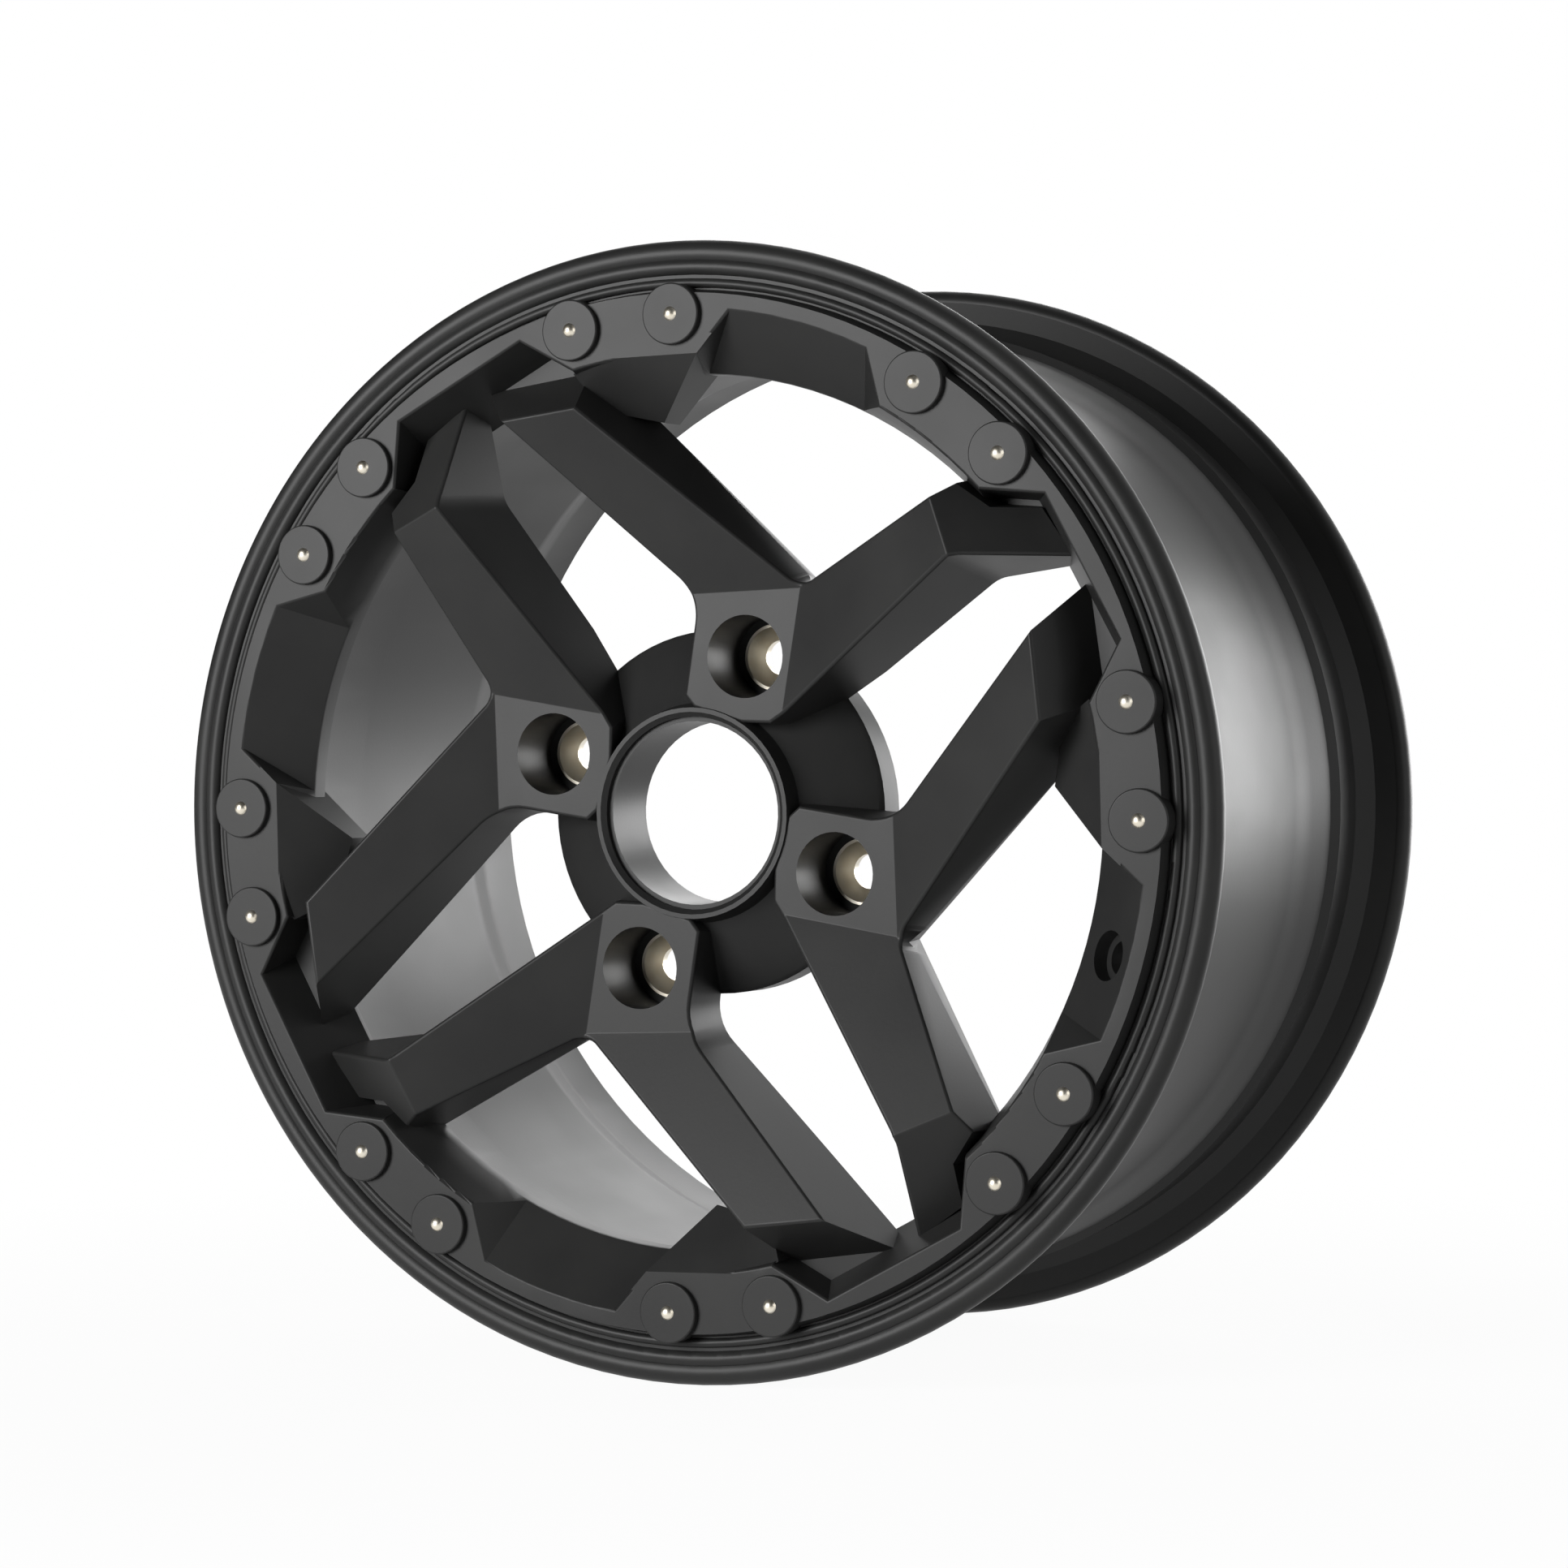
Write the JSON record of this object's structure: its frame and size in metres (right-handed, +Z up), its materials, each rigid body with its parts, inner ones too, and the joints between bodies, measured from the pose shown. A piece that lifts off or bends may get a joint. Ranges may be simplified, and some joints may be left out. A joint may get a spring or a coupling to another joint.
{
  "type": "car wheel",
  "caption": "Cast car wheel with a drop-centre rim, forked spokes, a face ring with riveted discs, a centre bore and lug holes with steel seats.",
  "frame": {"origin": "centre of the hub mounting face, on the axle line", "axes": "+Y along the axle towards the vehicle, so the face looks to -Y; +Z up, with the forks turned 16.5 degrees clockwise from upright as in the picture"},
  "size_m": [0.39, 0.2273, 0.39],
  "materials": {
    "black_coat": "satin black powder coat",
    "seat_steel": "machined, plated",
    "rivet_steel": "polished, plated"
  },
  "bodies": {
    "root": {"wheel_casting": "black_coat", "lug_seat_1": "seat_steel", "lug_seat_2": "seat_steel", "lug_seat_3": "seat_steel", "lug_seat_4": "seat_steel", "face_rivets": "rivet_steel"}
  },
  "joints": []
}
